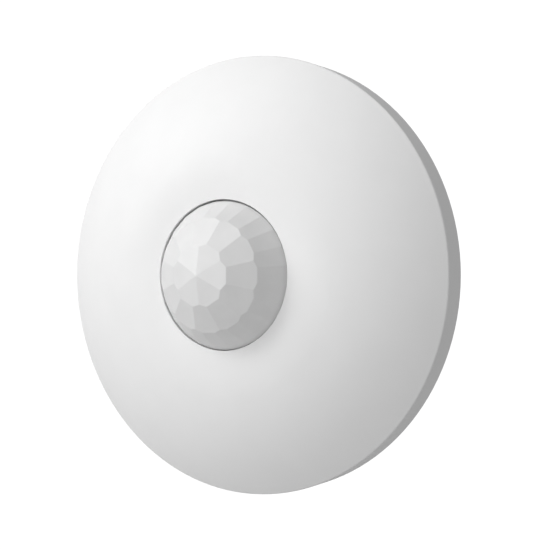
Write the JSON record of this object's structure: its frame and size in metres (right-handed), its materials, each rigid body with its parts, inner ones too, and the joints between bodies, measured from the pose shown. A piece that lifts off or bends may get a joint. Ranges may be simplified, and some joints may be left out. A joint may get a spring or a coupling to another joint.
{
  "type": "motion sensor",
  "caption": "Round ceiling motion sensor: a shallow domed cover with a faceted infrared lens, on a housing with circuit board and cells that twists onto a screwed mounting plate.",
  "frame": {"origin": "centre of the mounting plate's back face", "axes": "+Y out of the back, into the wall or ceiling; the lens looks along -Y; +Z up as pictured. On a ceiling +Y points up."},
  "size_m": [0.11, 0.0333, 0.11],
  "materials": {
    "white_shell": "fine satin moulded ABS",
    "housing_plastic": "satin moulded ABS",
    "plate_plastic": "satin moulded ABS",
    "lens_plastic": "milky polyethylene",
    "retainer_plastic": "matte moulded nylon",
    "foam": "closed-cell foam",
    "soft_rubber": "soft moulded rubber",
    "screw_steel": "zinc plated",
    "board_laminate": "green solder mask on glass laminate",
    "can_metal": "nickel plated",
    "filter_silicon": "coated silicon",
    "led_red": "diffused red epoxy",
    "chip_epoxy": "moulded epoxy",
    "tinned_metal": "tinned",
    "shield_metal": "drawn tinplate",
    "antenna_copper": "enamelled copper wire",
    "capacitor_sleeve": "shrink sleeve",
    "resistor_ceramic": "ceramic chip with glass top",
    "capacitor_ceramic": "ceramic chip",
    "cell_steel": "nickel plated steel",
    "cell_sleeve": "printed foil, plain",
    "contact_metal": "nickel plated spring steel",
    "spring_wire": "drawn wire",
    "switch_black": "moulded nylon",
    "plunger_white": "moulded acetal",
    "button_grey": "moulded acetal",
    "dip_blue": "moulded nylon"
  },
  "bodies": {
    "base": {"mounting_plate": "plate_plastic"},
    "housing": {"rear_housing": "housing_plastic", "circuit_board": "board_laminate", "board_screws": "screw_steel", "pir_sensor_can": "can_metal", "pir_filter_window": "filter_silicon", "pir_leads": "tinned_metal", "sensor_shroud": "soft_rubber", "indicator_led": "led_red", "microcontroller": "chip_epoxy", "microcontroller_legs": "tinned_metal", "radio_board": "board_laminate", "radio_shield": "shield_metal", "antenna_coil": "antenna_copper", "storage_capacitor": "capacitor_sleeve", "crystal_can": "can_metal", "chip_resistors": "resistor_ceramic", "chip_capacitors": "capacitor_ceramic", "battery_left": "cell_steel", "battery_right": "cell_steel", "battery_sleeve_left": "cell_sleeve", "battery_sleeve_right": "cell_sleeve", "battery_springs": "spring_wire", "battery_contacts": "contact_metal", "cover_tamper_switch": "switch_black", "cover_tamper_spring": "spring_wire", "rear_tamper_switch": "switch_black", "rear_tamper_spring": "spring_wire", "enrol_switch": "switch_black", "dip_switch_body": "dip_blue"},
    "cover": {"front_cover": "white_shell", "pir_lens": "lens_plastic", "lens_gasket": "foam", "lens_retainer": "retainer_plastic", "retainer_screws": "screw_steel"},
    "cover_plunger": {"cover_tamper_plunger": "plunger_white"},
    "rear_plunger": {"rear_tamper_plunger": "plunger_white"},
    "enrol_key": {"enrol_button": "button_grey"},
    "setting_1": {"dip_slider_1": "plunger_white"},
    "setting_2": {"dip_slider_2": "plunger_white"},
    "setting_3": {"dip_slider_3": "plunger_white"}
  },
  "joints": [
    {"name": "twist_lock", "type": "hinge", "parent": "base", "child": "housing", "pos_m": [0, 0, 0], "axis": [0, -1, 0], "range_deg": [0, 18]},
    {"name": "cover_lift", "type": "slide", "parent": "housing", "child": "cover", "axis": [0, -1, 0], "range_m": [0, 0.06]},
    {"name": "cover_tamper", "type": "slide", "parent": "housing", "child": "cover_plunger", "axis": [0, -1, 0], "range_m": [0, 0.0012], "deforming": ["cover_tamper_spring"]},
    {"name": "rear_tamper", "type": "slide", "parent": "housing", "child": "rear_plunger", "axis": [0, 1, 0], "range_m": [0, 0.0012], "deforming": ["rear_tamper_spring"]},
    {"name": "enrol_press", "type": "slide", "parent": "housing", "child": "enrol_key", "axis": [0, 1, 0], "range_m": [0, 0.00025], "stiffness_N_per_m": 4000, "springref_m": -0.0002},
    {"name": "dip_1", "type": "slide", "parent": "housing", "child": "setting_1", "axis": [1, 0, 0], "range_m": [0, 0.002]},
    {"name": "dip_2", "type": "slide", "parent": "housing", "child": "setting_2", "axis": [1, 0, 0], "range_m": [0, 0.002]},
    {"name": "dip_3", "type": "slide", "parent": "housing", "child": "setting_3", "axis": [1, 0, 0], "range_m": [0, 0.002]}
  ],
  "couplings": [
    {"joint": "cover_tamper", "follows": "cover_lift", "ratio": 0.02},
    {"joint": "rear_tamper", "follows": "twist_lock", "m_per_rad": 0.0038197}
  ]
}
